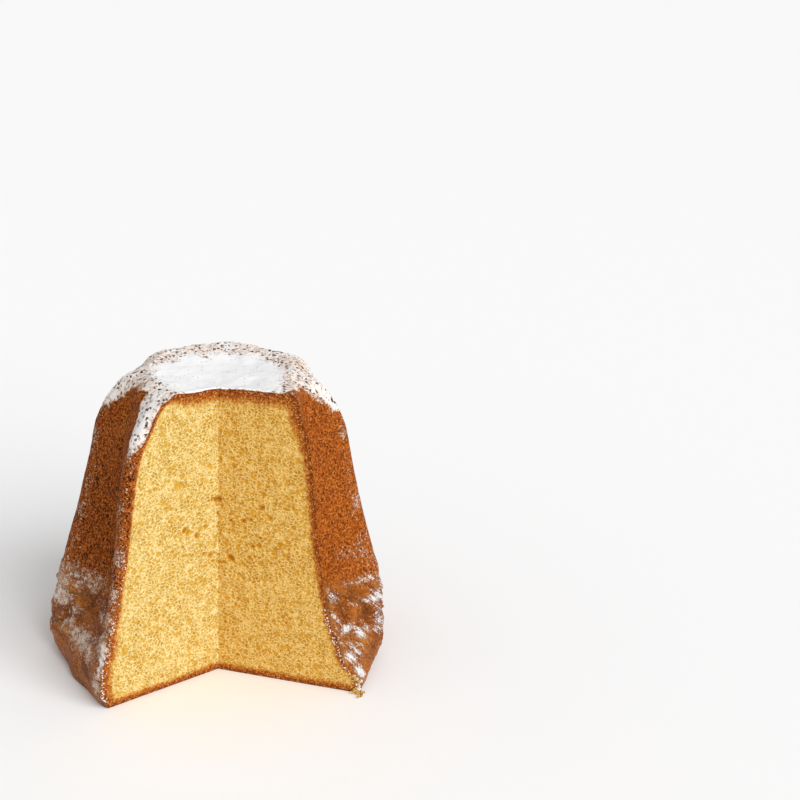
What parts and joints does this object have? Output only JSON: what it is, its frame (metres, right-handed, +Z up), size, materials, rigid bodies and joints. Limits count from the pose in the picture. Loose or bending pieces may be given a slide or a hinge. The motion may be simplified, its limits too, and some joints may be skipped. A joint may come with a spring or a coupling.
{
  "type": "pandoro cake",
  "caption": "Tall star-shaped sweet bread cake standing wide end down, dusted with icing sugar, with a wedge cut out to show its yellow crumb.",
  "frame": {"origin": "on the cake's axis, in the plane of its flat base", "axes": "+Z up along the axis, -Y towards the cut-out wedge, +X to the right when the cut faces the viewer"},
  "size_m": [0.2218, 0.1941, 0.199],
  "materials": {
    "crust": "fine-pored golden-brown baked crust, smoother and a little glossy on the bulge",
    "crumb": "open fine yellow sponge, matte",
    "icing_sugar": "white icing sugar, powdery and matte"
  },
  "bodies": {
    "root": {"pandoro": "crust"}
  },
  "joints": []
}
